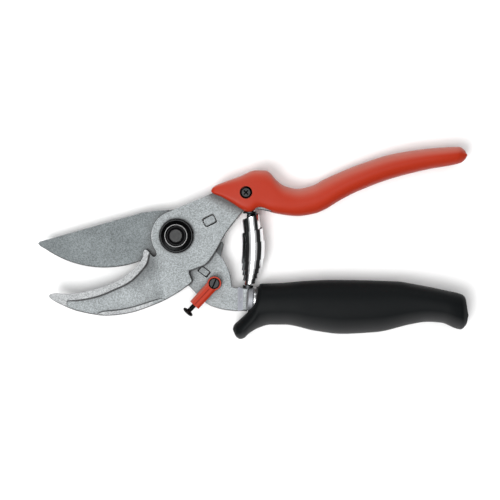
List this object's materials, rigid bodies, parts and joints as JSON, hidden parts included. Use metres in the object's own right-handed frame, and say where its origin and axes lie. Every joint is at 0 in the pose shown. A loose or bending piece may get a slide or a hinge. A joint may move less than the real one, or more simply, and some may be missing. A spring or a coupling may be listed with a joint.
{
  "type": "bypass pruning shears",
  "caption": "Hand-held bypass pruning shears with a red fixed grip, a black revolving grip, a coiled-strip return spring and a thumb catch.",
  "frame": {"origin": "on the pivot axis, at the flat rear face of the pivot bolt's head, which lies in the plane that the shears rest on", "axes": "+X from the jaws towards the grips, +Y towards the upper red grip, +Z along the pivot axis out of the front face"},
  "size_m": [0.2144, 0.0961, 0.021],
  "materials": {
    "forged_metal": "fine sand-blasted satin",
    "red_plastic": "satin-gloss moulded",
    "black_steel": "black oxide",
    "stud_steel": "satin",
    "seat_steel": "dark satin",
    "bolt_steel": "turned satin",
    "washer_steel": "plain zinc",
    "spring_chrome": "polished",
    "blade_steel": "ground, fine grain",
    "bush_brass": "turned",
    "collar_metal": "satin, turned",
    "catch_screw_steel": "dark turned",
    "black_grip": "soft satin",
    "core_plastic": "plain moulded",
    "bush_plastic": "plain moulded",
    "plunger_steel": "dark burnished"
  },
  "bodies": {
    "upper_half": {"counter_blade": "forged_metal", "upper_grip": "red_plastic", "upper_grip_screw": "black_steel", "stop_stud": "stud_steel", "spring_seat_upper": "seat_steel", "pivot_bolt": "bolt_steel", "pivot_washer": "washer_steel", "pivot_nut": "black_steel", "main_spring": "spring_chrome"},
    "lower_half": {"cutting_blade": "blade_steel", "lower_handle": "forged_metal", "blade_screw_front": "bolt_steel", "blade_screw_rear": "bolt_steel", "guide_pad": "stud_steel", "spring_seat_lower": "seat_steel", "pivot_bush": "bush_brass", "spindle": "collar_metal", "thrust_washer": "washer_steel", "spindle_washer": "washer_steel", "spindle_screw": "bolt_steel", "catch_screw": "catch_screw_steel", "catch_washer": "washer_steel"},
    "revolving_grip": {"roll_grip": "black_grip", "grip_core": "core_plastic", "grip_bush_front": "bush_plastic", "grip_bush_rear": "bush_plastic", "grip_end_plug": "black_grip"},
    "catch": {"catch_lever": "red_plastic", "catch_bush": "red_plastic", "plunger_spring": "spring_chrome"},
    "plunger": {"catch_plunger": "plunger_steel"}
  },
  "joints": [
    {"name": "handles_pivot", "type": "hinge", "parent": "upper_half", "child": "lower_half", "pos_m": [0, 0, 0], "axis": [0, 0, 1], "range_deg": [0, 24], "stiffness_Nm_per_rad": 2, "springref_deg": -20.05, "deforming": ["main_spring"]},
    {"name": "grip_roll", "type": "hinge", "parent": "lower_half", "child": "revolving_grip", "pos_m": [0.0342, -0.03163, 0.0105], "axis": [0.999, -0.0436, 0], "range_deg": [-90, 90]},
    {"name": "catch_swing", "type": "hinge", "parent": "lower_half", "child": "catch", "pos_m": [0.01875, -0.0236, 0.0138], "axis": [0, 0, 1], "range_deg": [-22, 25]},
    {"name": "plunger_slide", "type": "slide", "parent": "catch", "child": "plunger", "axis": [0.6769, 0.7361, 0], "range_m": [0, 0.0015], "stiffness_N_per_m": 800, "springref_m": -0.001, "deforming": ["plunger_spring"]}
  ]
}
